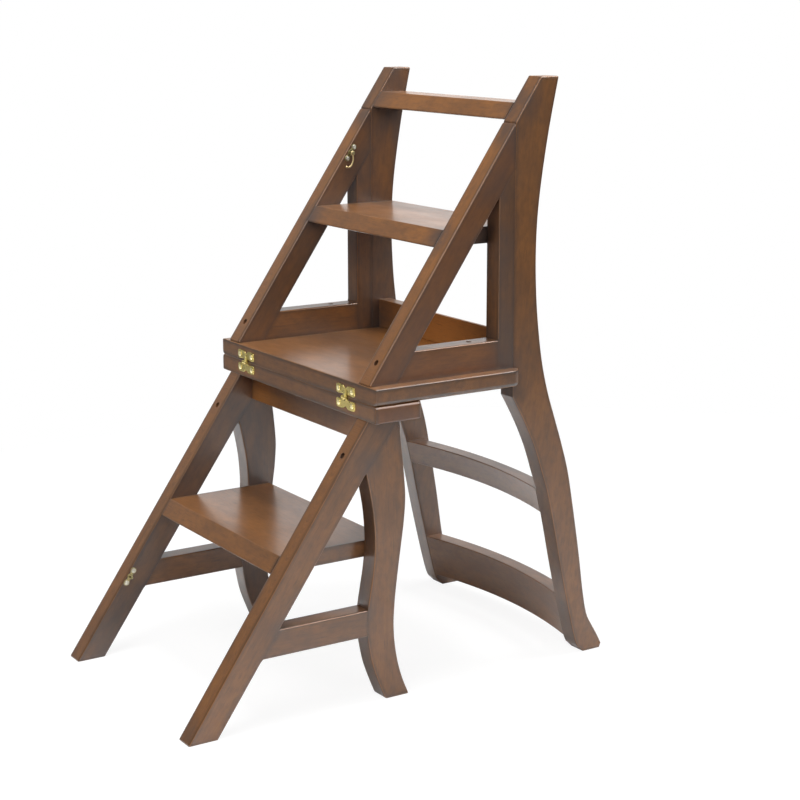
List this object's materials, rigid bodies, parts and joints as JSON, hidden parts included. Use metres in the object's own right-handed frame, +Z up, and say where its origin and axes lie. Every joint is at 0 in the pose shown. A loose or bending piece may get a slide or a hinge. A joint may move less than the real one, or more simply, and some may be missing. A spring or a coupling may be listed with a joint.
{
  "type": "folding_step_stool_chair",
  "caption": "Wooden chair that unfolds about brass hinges into a small library step ladder, with sabre legs, bowed back rails and a hook",
  "frame": {"origin": "on the floor under the middle of the footprint of the open ladder pose", "axes": "+X to the right seen from the front, +Y to the rear, +Z up; the ladder is climbed from the front"},
  "size_m": [0.472, 0.739, 0.914],
  "materials": {
    "frame_wood": "satin lacquer over walnut brown stain",
    "board_wood": "semi-gloss lacquer over walnut brown stain",
    "brass": "polished",
    "pale_brass": "dull, aged",
    "steel": "dark, sunk below the surface"
  },
  "bodies": {
    "lower_unit": {"lower_seat_board": "board_wood", "lower_stringer_left": "frame_wood", "sabre_leg_left": "frame_wood", "lower_side_rail_left": "frame_wood", "lower_stringer_right": "frame_wood", "sabre_leg_right": "frame_wood", "lower_side_rail_right": "frame_wood", "lower_tread": "board_wood", "lower_apron": "frame_wood", "hinge_leaf_lower_left": "brass", "hinge_pin_left": "brass", "hinge_leaf_lower_right": "brass", "hinge_pin_right": "brass", "hinge_screw_lower_1": "brass", "hinge_screw_lower_2": "brass", "hinge_screw_lower_3": "brass", "hinge_screw_lower_4": "brass", "catch_plate": "pale_brass", "catch_plate_screw_1": "pale_brass", "catch_plate_screw_2": "pale_brass", "lower_stringer_screw_left": "steel", "lower_stringer_screw_right": "steel"},
    "upper_unit": {"upper_seat_board": "board_wood", "upper_stringer_left": "frame_wood", "upper_side_rail_left": "frame_wood", "upright_left": "frame_wood", "back_post_left": "frame_wood", "upper_stringer_right": "frame_wood", "upper_side_rail_right": "frame_wood", "upright_right": "frame_wood", "back_post_right": "frame_wood", "upper_tread": "board_wood", "top_step": "board_wood", "rear_seat_rail": "frame_wood", "mid_back_rail": "frame_wood", "crest_rail": "frame_wood", "hinge_leaf_upper_left": "brass", "hinge_leaf_upper_right": "brass", "hinge_screw_upper_1": "brass", "hinge_screw_upper_2": "brass", "hinge_screw_upper_3": "brass", "hinge_screw_upper_4": "brass", "hook_plate": "pale_brass", "hook_plate_screw_1": "pale_brass", "hook_plate_screw_2": "pale_brass", "upper_stringer_screw_left": "steel", "side_rail_screw_left": "steel", "upper_stringer_screw_right": "steel", "side_rail_screw_right": "steel"},
    "hook": {"hook": "brass"}
  },
  "joints": [
    {"name": "fold", "type": "hinge", "parent": "lower_unit", "child": "upper_unit", "pos_m": [0, -0.0741, 0.457], "axis": [1, 0, 0], "range_deg": [0, 180]},
    {"name": "hook_swing", "type": "hinge", "parent": "upper_unit", "child": "hook", "pos_m": [-0.177, 0.14492, 0.7782], "axis": [1, 0, 0], "range_deg": [-92, 40]}
  ]
}
